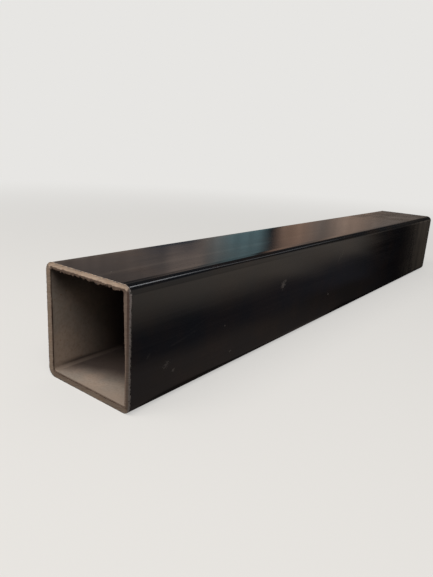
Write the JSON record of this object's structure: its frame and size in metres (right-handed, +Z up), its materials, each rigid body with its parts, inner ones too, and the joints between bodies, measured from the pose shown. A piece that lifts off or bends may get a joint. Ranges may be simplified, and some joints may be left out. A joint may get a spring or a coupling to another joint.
{
  "type": "square metal tube",
  "caption": "Straight length of square steel tube with rounded corners, an open bore right through, square sawn ends and a weld bead along the inside.",
  "frame": {"origin": "on the underside of the tube, below the middle of its length and width", "axes": "+Y along the tube from the near sawn end to the far one, +X to the right of someone looking along +Y, +Z up"},
  "size_m": [0.1, 0.75, 0.1],
  "materials": {
    "steel": "bare rolled steel with dark, fairly glossy mill scale outside, brown-grey scale in the bore and dull tan sawn ends"
  },
  "bodies": {
    "root": {"square_tube": "steel"}
  },
  "joints": []
}
